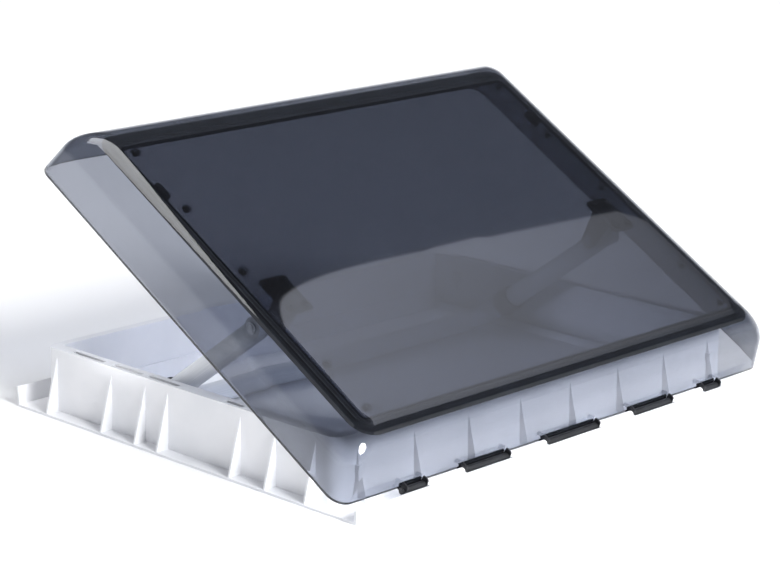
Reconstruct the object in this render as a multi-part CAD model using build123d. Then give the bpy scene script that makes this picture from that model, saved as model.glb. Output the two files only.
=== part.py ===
# Caravan roof hatch: a white moulded outer frame that stands on its flange, a smoked acrylic lid on a
# hinge along the front rim, and a U-shaped bow that holds the lid up and slides in rails in the side walls.
# X runs along the hinge, Y from the hinge side (-Y) to the free edge (+Y), Z is up.
# The origin is in the middle of the flange's underside.
# The lid is modelled closed and turned open at the end.
import math
import os

from build123d import *

os.makedirs("parts", exist_ok=True)

# How far a cutting body runs past the face it cuts, and how deep joined bodies sit in one another
cut_margin = 1.0
bite = 0.5

# Driving dimensions of the outer frame, in millimetres
flange_overhang = 20.0
frame_width = 619.0
flange_thickness = 3.0
flange_corner_radius = 4.0
opening_length = 700.0
opening_width = 500.0
wall_height = 85.0
side_wall_depth = 19.0
end_wall_depth = 13.0
front_shelf = 54.0
outer_skin = 3.0
inner_skin = 2.5
top_land = 3.0
wall_corner_radius = 16.0
front_rim_height = 17.0
back_rim_height = 26.0
rim_thickness = 3.0
back_rim_lean = 3.0
back_rim_end_gap = 2.0
section_margin = 4.0
rim_section_margin = 2.0
rib_section_margin = 0.7

# Ribs, slots and ledge of the outer frame
rib_thickness = 3.0
side_rib_reach = 18.5
side_rib_height = 75.0
side_rib_places = (-223.0, -156.0, -95.0, 35.0, 77.0, 141.0, 248.0)
end_rib_reach = 15.0
end_rib_height = 66.0
end_rib_pitch = 95.0
end_rib_count = 8
slot_width = 6.0
slot_edge = 5.0
slot_spans = ((-94.0, -62.0), (22.0, 80.0), (90.0, 145.0), (162.0, 222.0))
ledge_height = 26.0
ledge_depth = 2.5
ledge_thickness = 3.0
pad_width = 7.0
pad_height = 10.0
pad_depth = 2.0
pad_level = 41.0

# Screw bosses for the inner frame, which is screwed on from below
boss_width = 12.0
boss_height = 40.0
boss_hole_radius = 1.7
boss_hole_depth = 25.0
outer_boss_spacing = 640.0
inner_boss_spacing = 214.0

# Hinge
hinge_setback = 11.0
hinge_height = 17.0
barrel_radius = 4.5
rod_radius = 2.0
rod_overhang = 3.0
rod_cap_radius = 3.4
rod_cap_length = 2.5
rod_cap_base = 1.0
strip_lengths = (36.0, 80.0, 100.0, 80.0, 36.0)
strip_shares = (-0.3638, -0.2044, 0.0, 0.2044, 0.3638)
knuckle_gap = 0.4
strip_tongue_height = 3.0
strip_tongue_thickness = 2.4
strip_foot_thickness = 4.2
strip_gap = 0.05
ear_thickness = 2.0
ear_height = 9.0
ear_lean = 1.0
ear_corner = 1.5
ear_gap = 0.3

# Lid
lid_side_overhang = 35.0
lid_width = 612.0
lid_height = 78.0
lid_draft = 12.0
lid_edge_setback = 5.5
lid_rim_corner = 22.0
lid_top_corner = 20.0
shoulder_radius = 48.0
shoulder_steps = 8
dome_thickness = 3.0
pane_thickness = 3.0
pane_gap = 2.5
seal_width = 14.7
seal_lip = 4.3
seal_corner = 24.0
seal_inset = 2.0
seal_shoulder = 5.5
seal_top_step = 2.4
foot_reach_side = 4.5
foot_reach_front = 7.0
foot_reach_back = 11.0
foot_lean = 3.1
pane_play = 0.3
seal_clearance = 0.3
open_angle = 30.5
widest_angle = 60.0

# Pane fixings
pane_screw_inset = 17.0
pane_screw_places = (75.0, 150.0, 315.0, 430.0, 538.0)
spacer_radius = 6.5
spacer_skin = 0.5
screw_radius = 2.0
screw_head_radius = 4.2
screw_head_height = 2.2
clip_place = 470.0
clip_length = 26.0
clip_width = 9.0
clip_height = 7.0
clip_edge_gap = 5.5
clip_corner = 3.0
clip_edge = 1.5

# Bow, its pivots on the lid and its guides in the rails
pivot_reach = 266.0
pivot_drop = 26.0
arm_inset = 30.0
bow_radius = 14.0
bow_wall = 1.6
bow_bend = 42.0
eye_radius = 13.0
eye_width = 33.4
eye_neck = 20.0
eye_plug = 25.0
pin_radius = 4.0
pin_head_radius = 7.0
pin_head_length = 2.2
clip_ring_radius = 7.0
clip_ring_length = 1.6
pin_stand = 0.8
running_clearance = 0.05
side_clearance = 0.3
bracket_length = 62.0
bracket_lead = 31.0
bracket_plate = 3.0
bracket_leg = 16.0
bracket_eye_radius = 12.0
bracket_leg_span = 34.0
bracket_flange = 4.0
bracket_wing = 22.0
bracket_corner = 5.0
bracket_screw_inset = 9.0
collar_length = 26.0
collar_thickness = 4.0
collar_lead = 2.0
tongue_width = 20.0
tongue_thickness = 7.0
tongue_gap = 1.0
shoe_pin_head_radius = 5.5
shoe_pin_head_length = 1.6

# Rails, shoes and locks
rail_height = 20.0
rail_gap = 0.2
rail_corner = 3.0
groove_depth = 11.0
groove_play = 0.3
shoe_length = 24.0
shoe_height = 12.0
shoe_depth = 9.0
shoe_setback = 1.0
shoe_corner = 4.0
groove_end_room = 3.0
rail_end_length = 8.6
rail_screw_radius = 1.75
rail_screw_head_radius = 3.5
rail_screw_head_height = 2.0
rail_screw_length = 13.0
lock_width = 12.0
lock_thickness = 3.0
lock_length = 40.0
lock_travel = 14.0
lock_gap = 3.5
lock_play = 0.3
lock_neck_width = 5.4
lock_neck_height = 10.0
lock_neck_drop = 4.0
lock_knob_width = 16.0
lock_knob_height = 14.0
lock_knob_depth = 6.0
lock_guide_width = 2.7
lock_guide_depth = 4.0
lock_guide_lift = 1.2
lock_guide_lead = 4.3
lock_knob_corner = 3.0
lock_knob_edge = 1.5

# Planes and places that follow from the sizes above
front_face = -frame_width / 2
back_face = frame_width / 2
wall_front = front_face + front_shelf
opening_front = wall_front + end_wall_depth
opening_back = opening_front + opening_width
wall_back = opening_back + end_wall_depth
opening_middle = (opening_front + opening_back) / 2
opening_side = opening_length / 2
wall_side = opening_side + side_wall_depth
flange_side = wall_side + flange_overhang
lid_length = 2 * (wall_side + lid_side_overhang)
flange_back = back_face - back_rim_lean
hinge_y = front_face + hinge_setback
hinge_axis = Axis((0, hinge_y, hinge_height), (1, 0, 0))
rest_angle = math.radians(open_angle)
pivot_radius = math.hypot(pivot_reach, pivot_drop)
pivot_angle = math.atan2(pivot_drop, pivot_reach)
arm_side = opening_side - arm_inset
seal_level = wall_height - hinge_height + seal_clearance
pane_level = lid_height - dome_thickness - pane_gap - pane_thickness
strip_spans = []
for length, share in zip(strip_lengths, strip_shares):
    strip_middle = share * 2 * flange_side
    strip_spans.append((strip_middle - length / 2, strip_middle + length / 2))


def box_between(x0, x1, y0, y1, z0, z1):
    """A box from its two corners."""
    middle = ((x0 + x1) / 2, (y0 + y1) / 2, (z0 + z1) / 2)
    return Pos(*middle) * Box(abs(x1 - x0), abs(y1 - y0), abs(z1 - z0))


def rod_along_x(x0, x1, y, z, radius):
    """A round bar along X."""
    return Pos((x0 + x1) / 2, y, z) * Rot(0, 90, 0) * Cylinder(radius, abs(x1 - x0))


def plate_along_x(x0, x1, points):
    """A plate whose outline is given in Y and Z, and whose thickness runs from x0 to x1."""
    outline = Plane.YZ * make_face(Polyline(*points, close=True))
    return Pos(min(x0, x1), 0, 0) * extrude(outline, abs(x1 - x0), dir=(1, 0, 0))


def rounded_block(length, width, radius, middle_y, z0, z1):
    """A block with rounded upright corners, centred on X."""
    return Pos(0, middle_y, z0) * extrude(RectangleRounded(length, width, radius), z1 - z0)


def other_side(part):
    """The same piece on the +X side."""
    return mirror(part, about=Plane.YZ)


def on_lid(v, w):
    """Y and Z, with the lid closed, of a point v behind and w above the hinge axis."""
    return hinge_y + v, hinge_height + w


def opened(part):
    """A lid piece turned from closed to the angle at which it rests."""
    return part.rotate(hinge_axis, open_angle)


def pivot_at(angle):
    """Y and Z of the bow's pivot with the lid open by an angle in radians."""
    y = hinge_y + pivot_radius * math.cos(angle + pivot_angle)
    z = hinge_height + pivot_radius * math.sin(angle + pivot_angle)
    return y, z


def shoe_at(angle):
    """Y of the shoes. Arm and pivot radius are equal, so they stay level with the hinge axis."""
    return hinge_y + 2 * pivot_radius * math.cos(angle + pivot_angle)


def save(part, name):
    part.label = name
    export_step(part, f"parts/{name}.step")


# Outer frame
def hollow_walls():
    """The double wall round the opening: two skins joined by the land at the top, open below."""
    length = 2 * wall_side
    width = wall_back - wall_front
    walls = rounded_block(length, width, wall_corner_radius, opening_middle, 0, wall_height)
    walls -= box_between(
        -opening_side, opening_side, opening_front, opening_back,
        -cut_margin, wall_height + cut_margin)
    hollow_height = wall_height - top_land
    hollow = rounded_block(
        length - 2 * outer_skin, width - 2 * outer_skin, wall_corner_radius - outer_skin,
        opening_middle, -cut_margin, hollow_height)
    core_side = opening_side + inner_skin
    hollow -= box_between(
        -core_side, core_side, opening_front - inner_skin, opening_back + inner_skin,
        -2 * cut_margin, wall_height)
    return walls - hollow


def flange_plate():
    """The flat flange, its upturned front rim and its leaning back rim."""
    depth = flange_back - front_face
    plate = rounded_block(
        2 * flange_side, depth, flange_corner_radius, front_face + depth / 2, 0, flange_thickness)
    core_length = 2 * (wall_side - outer_skin)
    core_width = wall_back - wall_front - 2 * outer_skin
    plate -= rounded_block(
        core_length, core_width, wall_corner_radius - outer_skin, opening_middle,
        -cut_margin, flange_thickness + cut_margin)
    plate += box_between(
        -flange_side, flange_side, front_face, front_face + rim_thickness, 0, front_rim_height)
    inner_foot = flange_back - rim_thickness
    rim = [
        (flange_back, 0), (back_face, back_rim_height),
        (back_face - rim_thickness, back_rim_height), (inner_foot, flange_thickness), (inner_foot, 0)]
    # The back rim stops short of the flange's rounded corners
    rim_end = flange_side - back_rim_end_gap
    return plate + plate_along_x(-rim_end, rim_end, rim)


def side_ribs():
    """Triangular gussets on the two short walls."""
    face = wall_side - bite
    outline = [(face, 0), (wall_side + side_rib_reach, 0), (wall_side + side_rib_reach, flange_thickness),
               (wall_side, side_rib_height), (face, side_rib_height)]
    ribs = []
    for place in side_rib_places:
        sketch = Plane.XZ * make_face(Polyline(*outline, close=True))
        rib = Pos(0, place + rib_thickness / 2, 0) * extrude(sketch, rib_thickness, dir=(0, -1, 0))
        ribs += [rib, other_side(rib)]
    return ribs


def end_ribs():
    """Gussets on the two long walls, and a small pad on the outermost front ones."""
    first = -end_rib_pitch * (end_rib_count - 1) / 2
    ribs = []
    for number in range(end_rib_count):
        x = first + number * end_rib_pitch
        x0, x1 = x - rib_thickness / 2, x + rib_thickness / 2
        for face, way in ((wall_front, -1), (wall_back, 1)):
            foot = face + way * end_rib_reach
            outline = [(face - way * bite, 0), (foot, 0), (foot, flange_thickness),
                       (face, end_rib_height), (face - way * bite, end_rib_height)]
            ribs.append(plate_along_x(x0, x1, outline))
    pad_front = wall_front - pad_depth - end_rib_reach * (1 - pad_level / end_rib_height)
    for x in (first, -first):
        ribs.append(box_between(
            x - pad_width / 2, x + pad_width / 2, pad_front, wall_front + bite,
            pad_level - pad_height / 2, pad_level + pad_height / 2))
    return ribs


def frame_knuckle_spans():
    """Where the frame's own hinge knuckles stand, between the lid's strips."""
    spans = []
    for left, right in zip(strip_spans, strip_spans[1:]):
        spans.append((left[1] + knuckle_gap, right[0] - knuckle_gap))
    return spans


def frame_knuckles():
    """Barrels for the hinge rod, each on a block behind the front rim."""
    knuckles = []
    for x0, x1 in frame_knuckle_spans():
        barrel = rod_along_x(x0, x1, hinge_y, hinge_height, barrel_radius)
        block = box_between(
            x0, x1, front_face + rim_thickness / 2, hinge_y, flange_thickness / 2, hinge_height)
        knuckles.append(barrel + block)
    return knuckles


def screw_bosses():
    """Bosses between the skins of the long walls, with blind pilot holes from below."""
    bosses, holes = [], []
    for spacing in (outer_boss_spacing, inner_boss_spacing):
        for x in (-spacing / 2, spacing / 2):
            for y0, y1 in ((wall_front, opening_front), (opening_back, wall_back)):
                bosses.append(box_between(
                    x - boss_width / 2, x + boss_width / 2, y0 + bite, y1 - bite, 0, boss_height))
                holes.append(
                    Pos(x, (y0 + y1) / 2, (boss_hole_depth - cut_margin) / 2)
                    * Cylinder(boss_hole_radius, boss_hole_depth + cut_margin))
    return bosses, holes


def top_slots():
    """Slots through the top land of the side walls."""
    slots = []
    x0 = wall_side - slot_edge
    for y0, y1 in slot_spans:
        slot = box_between(
            -x0, -x0 + slot_width, y0, y1, wall_height - top_land - cut_margin, wall_height + cut_margin)
        slots += [slot, other_side(slot)]
    return slots


rail_start = shoe_at(math.radians(widest_angle)) - shoe_length / 2 - groove_end_room - rail_end_length
rail_end = shoe_at(0) + shoe_length / 2 + groove_end_room + rail_end_length
groove_start = rail_start + rail_end_length
groove_end = rail_end - rail_end_length
rail_half = rail_height / 2
groove_half = shoe_height / 2 + groove_play
lock_y = shoe_at(0) - shoe_length / 2 - lock_gap - lock_width / 2
lock_foot = hinge_height + groove_half + (rail_half - groove_half) / 2
lock_top = lock_foot + lock_length
neck_top = lock_top - lock_neck_drop
neck_foot = neck_top - lock_neck_height


def side_wall_cuts():
    """The window of the rail and the upright slit of the lock in the left inner skin."""
    skin0, skin1 = -opening_side - inner_skin - cut_margin, -opening_side + cut_margin
    window = box_between(
        skin0, skin1, rail_start - rail_gap, rail_end + rail_gap,
        hinge_height - rail_half - rail_gap, hinge_height + rail_half + rail_gap)
    half = lock_neck_width / 2 + lock_play
    slit = box_between(
        skin0, skin1, lock_y - half, lock_y + half,
        neck_foot - lock_travel - lock_play, neck_top + lock_play)
    return [window, slit, other_side(window), other_side(slit)]


def lock_guides():
    """Two upright ribs behind the inner skin that guide each lock."""
    guides = []
    for way in (-1, 1):
        near = lock_y + way * (lock_width / 2 + lock_play)
        guide = box_between(
            -opening_side - inner_skin / 2, -opening_side - inner_skin - lock_guide_depth,
            near, near + way * lock_guide_width,
            hinge_height + rail_half + lock_guide_lift, lock_top + lock_guide_lead)
        guides += [guide, other_side(guide)]
    return guides


def inner_ledges():
    """A low ledge along the inside of the two long walls."""
    ledges = []
    for face, way in ((opening_front, 1), (opening_back, -1)):
        ledges.append(box_between(
            -opening_side, opening_side, face - way * bite, face + way * ledge_depth,
            ledge_height, ledge_height + ledge_thickness))
    return ledges


def make_outer_frame():
    bosses, holes = screw_bosses()
    frame = flange_plate() + hollow_walls()
    frame += side_ribs() + end_ribs() + frame_knuckles() + bosses + lock_guides() + inner_ledges()
    bore = rod_along_x(
        -flange_side, flange_side, hinge_y, hinge_height, rod_radius + running_clearance)
    return frame - holes - top_slots() - side_wall_cuts() - bore


def save_frame_sections(frame):
    """Save the moulding as simple sections, parted inside the long walls and in the front gutter."""
    side = flange_side + cut_margin
    front, back = opening_front + section_margin, opening_back - section_margin
    rim_back = hinge_y + barrel_radius + rim_section_margin
    rib_front = wall_front - end_rib_reach - rib_section_margin
    sections = {
        "frame_front_rim": (-side, side, front_face - cut_margin, rim_back),
        "frame_front_flange": (-side, side, rim_back, rib_front),
        "frame_front": (-side, side, rib_front, front),
        "frame_back": (-side, side, back, back_face + cut_margin),
        "frame_left": (-side, 0, front, back),
        "frame_right": (0, side, front, back)}
    for name, span in sections.items():
        save(frame & box_between(*span, -cut_margin, wall_height + cut_margin), name)


# Rails and locks in the side walls
def make_left_rail():
    wall_face = -wall_side + outer_skin
    rail = box_between(
        wall_face, -opening_side, rail_start, rail_end,
        hinge_height - rail_half, hinge_height + rail_half)
    rail = fillet(rail.edges().filter_by(Axis.Z).group_by(Axis.X)[0], rail_corner)
    rail -= box_between(
        -opening_side - groove_depth, -opening_side + cut_margin, groove_start, groove_end,
        hinge_height - groove_half, hinge_height + groove_half)
    half = lock_width / 2 + lock_play
    rail -= box_between(
        -opening_side - inner_skin - 2 * lock_play - lock_thickness, -opening_side - inner_skin,
        lock_y - half, lock_y + half, hinge_height, hinge_height + rail_half + cut_margin)
    for y in rail_screw_places():
        tip = -opening_side - rail_screw_length - running_clearance
        rail -= rod_along_x(
            tip, -opening_side + cut_margin, y, hinge_height, rail_screw_radius + running_clearance)
        rail -= rod_along_x(
            -opening_side - rail_screw_head_height, -opening_side + cut_margin, y, hinge_height,
            rail_screw_head_radius + running_clearance)
    return rail


def rail_screw_places():
    return (rail_start + rail_end_length / 2, rail_end - rail_end_length / 2)


def make_rail_screws():
    screws = []
    for y in rail_screw_places():
        shank = rod_along_x(
            -opening_side - rail_screw_length, -opening_side, y, hinge_height, rail_screw_radius)
        head = rod_along_x(
            -opening_side - rail_screw_head_height, -opening_side, y, hinge_height,
            rail_screw_head_radius)
        screws += [shank + head, other_side(shank + head)]
    return Compound(children=screws)


def make_left_lock():
    back = -opening_side - inner_skin - lock_play
    bolt = box_between(
        back - lock_thickness, back, lock_y - lock_width / 2, lock_y + lock_width / 2,
        lock_foot, lock_top)
    knob_back = -opening_side + lock_play
    neck = box_between(
        back - bite, knob_back + bite, lock_y - lock_neck_width / 2, lock_y + lock_neck_width / 2,
        neck_foot, neck_top)
    middle = (neck_foot + neck_top) / 2
    knob = box_between(
        knob_back, knob_back + lock_knob_depth, lock_y - lock_knob_width / 2,
        lock_y + lock_knob_width / 2, middle - lock_knob_height / 2, middle + lock_knob_height / 2)
    knob = fillet(knob.edges().filter_by(Axis.X), lock_knob_corner)
    knob = fillet(knob.faces().sort_by(Axis.X)[-1].edges(), lock_knob_edge)
    return bolt + neck + knob


# Hinge rod
def rod_end():
    return strip_spans[-1][1] + rod_overhang


def make_hinge_rod():
    return rod_along_x(-rod_end(), rod_end(), hinge_y, hinge_height, rod_radius)


def make_rod_caps():
    """Push-on caps on both ends of the rod, outside the last strips."""
    outer_end = rod_end() + rod_cap_base
    cap = rod_along_x(
        outer_end - rod_cap_length, outer_end, hinge_y, hinge_height, rod_cap_radius)
    cap -= rod_along_x(
        outer_end - rod_cap_length - cut_margin, rod_end(), hinge_y, hinge_height,
        rod_radius + running_clearance)
    return Compound(children=[cap, other_side(cap)])


# Lid
lid_middle = hinge_y + lid_edge_setback + lid_width / 2
skirt_wall = dome_thickness / math.cos(math.radians(lid_draft))


def dome_profile(offset):
    """Inset and height of the dome's section: the leaning skirt, then the arc of the shoulder."""
    lean = math.radians(lid_draft)
    centre_height = lid_height - shoulder_radius
    centre_inset = centre_height * math.tan(lean) + shoulder_radius / math.cos(lean)
    radius = shoulder_radius - offset
    points = [(offset / math.cos(lean), 0.0)]
    for step in range(shoulder_steps + 1):
        turn = lean + (math.pi / 2 - lean) * step / shoulder_steps
        points.append(
            (centre_inset - radius * math.cos(turn), centre_height + radius * math.sin(turn)))
    return points


def dome_block(offset):
    """A tapered block with rounded corners and a rounded shoulder, standing on the rim."""
    sections = []
    for inset, height in dome_profile(offset):
        corner_change = (lid_rim_corner - lid_top_corner) * height / lid_height
        sections.append(Pos(0, lid_middle, hinge_height + height) * RectangleRounded(
            lid_length - 2 * inset, lid_width - 2 * inset,
            lid_rim_corner - offset - corner_change))
    return loft(sections, ruled=True)


def make_outer_dome():
    return dome_block(0) - dome_block(dome_thickness)


seal_side = wall_side - seal_inset
seal_front = wall_front - hinge_y + seal_inset
seal_back = wall_back - hinge_y - seal_inset
pane_side = seal_side - seal_width
pane_front = seal_front + seal_width
pane_back = seal_back - seal_width


def lid_ring(outer_inset, inner_inset, w0, w1):
    """A flat ring that follows the seal's outline, between two insets and two heights."""
    middle = hinge_y + (seal_front + seal_back) / 2
    sizes = []
    for inset in (outer_inset, inner_inset):
        sizes.append((2 * (seal_side - inset), seal_back - seal_front - 2 * inset))
    z0, z1 = hinge_height + w0, hinge_height + w1
    outer_radius = seal_corner - outer_inset
    inner_radius = seal_corner - inner_inset
    ring = rounded_block(*sizes[0], outer_radius, middle, z0, z1)
    return ring - rounded_block(*sizes[1], inner_radius, middle, z0 - cut_margin, z1 + cut_margin)


def make_seal_foot(top_level):
    """A flange outside the body that leans in under the dome's shoulder."""
    middle = hinge_y + (seal_front + seal_back + foot_reach_back - foot_reach_front) / 2
    length = 2 * (seal_side + foot_reach_side)
    width = seal_back - seal_front + foot_reach_back + foot_reach_front
    radius = seal_corner + foot_reach_side
    sections = []
    for inset, level in ((0, seal_level), (foot_lean, top_level)):
        sections.append(Pos(0, middle, hinge_height + level) * RectangleRounded(
            length - 2 * inset, width - 2 * inset, radius - inset))
    foot = loft(sections, ruled=True)
    hole_radius = seal_corner - seal_shoulder
    return foot - rounded_block(
        2 * (seal_side - seal_shoulder), seal_back - seal_front - 2 * seal_shoulder, hole_radius,
        hinge_y + (seal_front + seal_back) / 2, hinge_height + seal_level - cut_margin,
        hinge_height + top_level + cut_margin)


def make_lid_seal():
    """The rubber profile: a broad body with a foot, a raised inner shoulder and a lip under the pane."""
    shoulder_level = pane_level + pane_thickness
    body = lid_ring(0, seal_width - pane_play, seal_level, shoulder_level - seal_top_step)
    shoulder = lid_ring(seal_shoulder, seal_width - pane_play, seal_level, shoulder_level)
    lip = lid_ring(seal_shoulder, seal_width + seal_lip, seal_level, pane_level)
    return body + make_seal_foot(shoulder_level - seal_top_step) + shoulder + lip


def pane_hole_places():
    """Where the pane is screwed to the dome, on both sides."""
    x = pane_side - pane_screw_inset
    places = []
    for v in pane_screw_places:
        places += [(-x, v), (x, v)]
    return places


def upright_cylinder(x, v, w0, w1, radius):
    y, z = on_lid(v, (w0 + w1) / 2)
    return Pos(x, y, z) * Cylinder(radius, w1 - w0)


def make_inner_pane():
    middle = hinge_y + (pane_front + pane_back) / 2
    z0 = hinge_height + pane_level
    pane = rounded_block(
        2 * pane_side, pane_back - pane_front, seal_corner - seal_width, middle,
        z0, z0 + pane_thickness)
    for x, v in pane_hole_places() + bracket_hole_places():
        pane -= upright_cylinder(
            x, v, pane_level - cut_margin, pane_level + pane_thickness + cut_margin,
            screw_radius + running_clearance)
    return pane


def make_pane_spacers():
    """Discs bonded under the dome, which the pane is screwed to."""
    w0, w1 = pane_level + pane_thickness, lid_height - dome_thickness
    spacers = []
    for x, v in pane_hole_places() + bracket_hole_places():
        spacer = upright_cylinder(x, v, w0, w1, spacer_radius)
        hole = upright_cylinder(
            x, v, w0 - cut_margin, w1 - spacer_skin, screw_radius + running_clearance)
        spacers.append(spacer - hole)
    return Compound(children=spacers)


def lid_screws(places, seat):
    """Screws up into the spacers, their heads below the level at which they seat."""
    tip = lid_height - dome_thickness - spacer_skin - running_clearance
    screws = []
    for x, v in places:
        shank = upright_cylinder(x, v, seat - bite, tip, screw_radius)
        head = upright_cylinder(x, v, seat - screw_head_height, seat, screw_head_radius)
        head = fillet(head.edges().sort_by(Axis.Z)[0], screw_head_height / 2)
        screws.append(shank + head)
    return Compound(children=screws)


def make_pane_clips():
    """A small stop block under the pane on each side, which meets the wall when the lid shuts."""
    x = pane_side - clip_edge_gap - clip_width / 2
    y0, z0 = on_lid(clip_place - clip_length / 2, pane_level - clip_height)
    clip = box_between(
        x - clip_width / 2, x + clip_width / 2, y0, y0 + clip_length, z0, z0 + clip_height)
    clip = fillet(clip.edges().filter_by(Axis.Z), clip_corner)
    clip = fillet(clip.faces().sort_by(Axis.Z)[0].edges(), clip_edge)
    return Compound(children=[clip, other_side(clip)])


# Hinge strips on the lid
def make_hinge_strip(x0, x1):
    """A barrel round the rod, a foot under the rim, a tongue up the skirt and an ear at each end."""
    barrel = rod_along_x(x0, x1, hinge_y, hinge_height, barrel_radius)
    lean = math.tan(math.radians(lid_draft))
    skin = lid_edge_setback + skirt_wall + strip_gap
    height = strip_tongue_height
    thickness = strip_tongue_thickness
    tongue = [
        on_lid(0, -barrel_radius), on_lid(skin + thickness, -barrel_radius),
        on_lid(skin + thickness, 0), on_lid(skin + thickness + height * lean, height),
        on_lid(skin + height * lean, height), on_lid(skin, 0),
        on_lid(skin, strip_foot_thickness - barrel_radius),
        on_lid(0, strip_foot_thickness - barrel_radius)]
    strip = barrel + plate_along_x(x0, x1, tongue)
    inner = lid_edge_setback - ear_gap
    front = ear_lean - barrel_radius
    ear = [
        on_lid(-barrel_radius, 0), on_lid(front, ear_height - ear_corner),
        on_lid(front + ear_corner, ear_height),
        on_lid(inner + ear_height * lean - ear_corner, ear_height), on_lid(inner, 0)]
    strip += plate_along_x(x0, x0 + ear_thickness, ear)
    strip += plate_along_x(x1 - ear_thickness, x1, ear)
    return strip - rod_along_x(
        x0 - cut_margin, x1 + cut_margin, hinge_y, hinge_height, rod_radius + running_clearance)


# Brackets and pivot pins of the bow
bracket_front = pivot_reach - bracket_lead
leg_face = arm_side - eye_width / 2 - side_clearance
leg_back = leg_face - bracket_leg
bracket_inner = leg_back - bracket_flange
bracket_outer = leg_face + bracket_wing
ring_face = arm_side + eye_width / 2 + side_clearance
pin_tip = ring_face + clip_ring_length + pin_stand


def bracket_hole_places():
    """The four screws of each bracket, at its plate's corners, clear of the leg."""
    places = []
    first = bracket_front + bracket_screw_inset
    last = bracket_front + bracket_length - bracket_screw_inset
    for x in (bracket_inner + bracket_screw_inset, bracket_outer - bracket_screw_inset):
        for v in (first, last):
            places += [(-x, v), (x, v)]
    return places


def make_left_bracket():
    """A plate under the pane and a broad leg that carries the pivot pin."""
    foot = pane_level - bracket_plate
    y0, z0 = on_lid(bracket_front, foot)
    bracket = box_between(
        -bracket_outer, -bracket_inner, y0, y0 + bracket_length, z0, z0 + bracket_plate)
    bracket = fillet(bracket.edges().filter_by(Axis.Z), bracket_corner)
    pivot_y, pivot_z = on_lid(pivot_reach, pivot_drop)
    half = bracket_leg_span / 2
    top_z = z0 + bite
    rise = top_z - pivot_z
    # The leg's edges run from the plate and touch the round eye
    angle = math.atan2(rise, half) - math.acos(bracket_eye_radius / math.hypot(rise, half))
    touch_y = bracket_eye_radius * math.cos(angle)
    touch_z = pivot_z + bracket_eye_radius * math.sin(angle)
    outline = [
        (pivot_y - half, top_z), (pivot_y + half, top_z),
        (pivot_y + touch_y, touch_z), (pivot_y - touch_y, touch_z)]
    bracket += plate_along_x(-leg_face, -leg_back, outline)
    bracket += rod_along_x(-leg_face, -leg_back, pivot_y, pivot_z, bracket_eye_radius)
    bracket -= rod_along_x(
        -leg_face - cut_margin, -leg_back + cut_margin, pivot_y, pivot_z,
        pin_radius + running_clearance)
    for x, v in bracket_hole_places():
        if x < 0:
            bracket -= upright_cylinder(
                x, v, foot - cut_margin, pane_level + cut_margin, screw_radius + running_clearance)
    return bracket


def make_left_pin():
    """The pivot pin, which runs out from the leg through the bow's eye; its head is behind the leg."""
    y, z = on_lid(pivot_reach, pivot_drop)
    head_end = leg_back - pin_head_length
    shank = rod_along_x(-pin_tip, -head_end, y, z, pin_radius)
    head = rod_along_x(-leg_back, -head_end, y, z, pin_head_radius)
    head = fillet(head.edges().sort_by(Axis.X)[-1], pin_head_length / 2)
    return shank + head


def make_pin_rings():
    """Push-on rings that keep the bow's eyes on the pins."""
    y, z = on_lid(pivot_reach, pivot_drop)
    ring_end = ring_face + clip_ring_length
    ring = rod_along_x(-ring_end, -ring_face, y, z, clip_ring_radius)
    ring -= rod_along_x(
        -ring_end - cut_margin, -ring_face + cut_margin, y, z, pin_radius + running_clearance)
    return Compound(children=[ring, other_side(ring)])


# Bow, modelled at the angle at which the lid rests
rest_pivot = pivot_at(rest_angle)
rest_shoe = (shoe_at(rest_angle), hinge_height)
arm_y = (rest_shoe[0] - rest_pivot[0]) / pivot_radius
arm_z = (rest_shoe[1] - rest_pivot[1]) / pivot_radius


def on_arm(distance):
    """Y and Z of a point on the arm's axis, at a distance from the pivot."""
    return rest_pivot[0] + distance * arm_y, rest_pivot[1] + distance * arm_z


def rod_along_arm(x, start, end, radius):
    """A round bar along the arm's axis."""
    y, z = on_arm((start + end) / 2)
    tilt = math.degrees(math.atan2(-arm_y, arm_z))
    return Pos(x, y, z) * Rot(tilt, 0, 0) * Cylinder(radius, end - start)


def make_bow_tube():
    """One tube bent twice: arm, crossbar, arm."""
    top = on_arm(eye_neck)
    corner = on_arm(pivot_radius)
    route = FilletPolyline(
        (-arm_side, *top), (-arm_side, *corner), (arm_side, *corner), (arm_side, *top),
        radius=bow_bend)
    start = Plane(origin=route @ 0, z_dir=route % 0)
    outside = sweep(start * Circle(bow_radius), path=route)
    inside = sweep(start * Circle(bow_radius - bow_wall), path=route)
    return outside - inside


tongue_inner = arm_side + bow_radius + tongue_gap


def make_left_eye():
    """A moulded eye on the pivot pin, with a neck and a plug inside the tube."""
    x = -arm_side
    eye = rod_along_x(x - eye_width / 2, x + eye_width / 2, *rest_pivot, eye_radius)
    eye += rod_along_arm(x, 0, eye_neck, bow_radius)
    plug = bow_radius - bow_wall - running_clearance
    eye += rod_along_arm(x, eye_neck - bite, eye_neck + eye_plug, plug)
    return eye - rod_along_x(
        x - eye_width, x + eye_width, *rest_pivot, pin_radius + running_clearance)


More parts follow.
